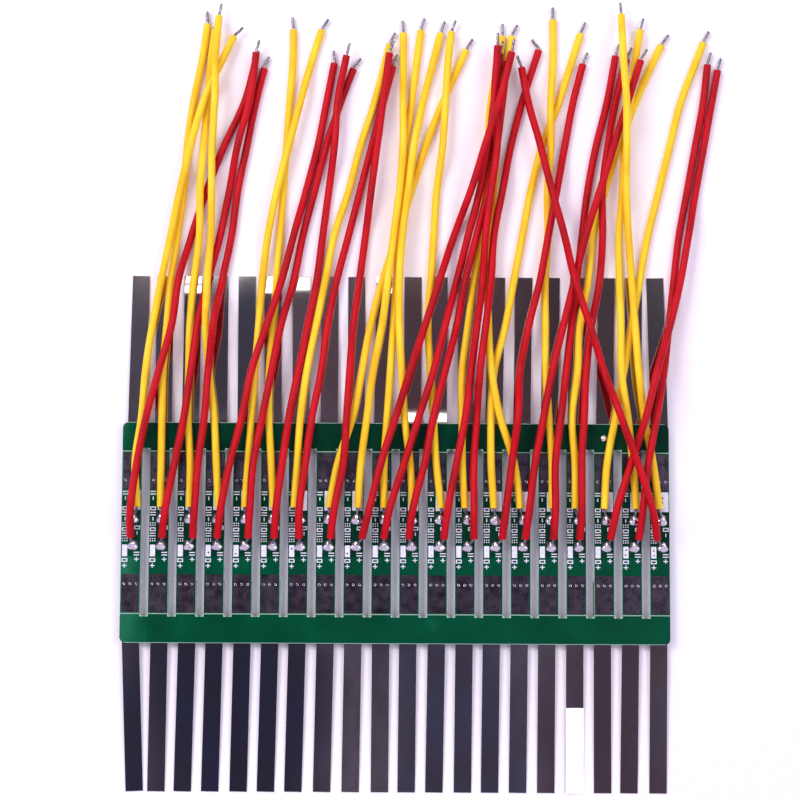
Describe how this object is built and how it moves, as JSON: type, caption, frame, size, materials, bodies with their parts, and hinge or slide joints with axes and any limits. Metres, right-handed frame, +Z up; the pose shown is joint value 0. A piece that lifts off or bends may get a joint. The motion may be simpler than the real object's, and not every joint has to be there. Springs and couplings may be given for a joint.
{
  "type": "battery protection board panel",
  "caption": "Routed and scored panel of narrow one-cell battery protection boards, each with a nickel strip at both ends and a red and a yellow lead.",
  "frame": {"origin": "bottom centre of the panel with its strips, on the table that the strips' tips and the chips rest on", "axes": "+X along the row of boards, +Y towards the minus strips and the leads' free ends, +Z up from the table, with the leads' side of the boards on top"},
  "size_m": [0.1047, 0.138, 0.0075],
  "materials": {
    "green_laminate": "gloss",
    "tin_pads": "satin",
    "white_print": "matte",
    "nickel": "satin",
    "solder": "gloss",
    "tinned_core": "satin",
    "chip_body": "matte",
    "tin_pins": "satin",
    "ceramic": "matte",
    "yellow_insulation": "gloss",
    "red_insulation": "gloss"
  },
  "bodies": {
    "root": {"panel": "green_laminate", "battery_pads": "tin_pads", "lead_pads": "tin_pads", "white_print": "white_print", "minus_strips": "nickel", "plus_strips": "nickel", "strip_solder": "solder", "minus_lead_solder": "solder", "plus_lead_solder": "solder", "rail_solder_dot": "solder", "lead_cores": "tinned_core", "yellow_tips": "tinned_core", "red_tips": "tinned_core", "protection_chips": "chip_body", "mosfets": "chip_body", "protection_chip_pins": "tin_pins", "mosfet_pins": "tin_pins", "chip_end_caps": "tin_pins", "resistors": "chip_body", "capacitors": "ceramic", "yellow_lead_01": "yellow_insulation", "yellow_lead_02": "yellow_insulation", "yellow_lead_03": "yellow_insulation", "yellow_lead_04": "yellow_insulation", "yellow_lead_05": "yellow_insulation", "yellow_lead_06": "yellow_insulation", "yellow_lead_07": "yellow_insulation", "yellow_lead_08": "yellow_insulation", "yellow_lead_09": "yellow_insulation", "yellow_lead_10": "yellow_insulation", "yellow_lead_11": "yellow_insulation", "yellow_lead_12": "yellow_insulation", "yellow_lead_13": "yellow_insulation", "yellow_lead_14": "yellow_insulation", "yellow_lead_15": "yellow_insulation", "yellow_lead_16": "yellow_insulation", "yellow_lead_17": "yellow_insulation", "yellow_lead_18": "yellow_insulation", "yellow_lead_19": "yellow_insulation", "yellow_lead_20": "yellow_insulation", "red_lead_01": "red_insulation", "red_lead_02": "red_insulation", "red_lead_03": "red_insulation", "red_lead_04": "red_insulation", "red_lead_05": "red_insulation", "red_lead_06": "red_insulation", "red_lead_07": "red_insulation", "red_lead_08": "red_insulation", "red_lead_09": "red_insulation", "red_lead_10": "red_insulation", "red_lead_11": "red_insulation", "red_lead_12": "red_insulation", "red_lead_13": "red_insulation", "red_lead_14": "red_insulation", "red_lead_15": "red_insulation", "red_lead_16": "red_insulation", "red_lead_17": "red_insulation", "red_lead_18": "red_insulation", "red_lead_19": "red_insulation", "red_lead_20": "red_insulation"}
  },
  "joints": []
}
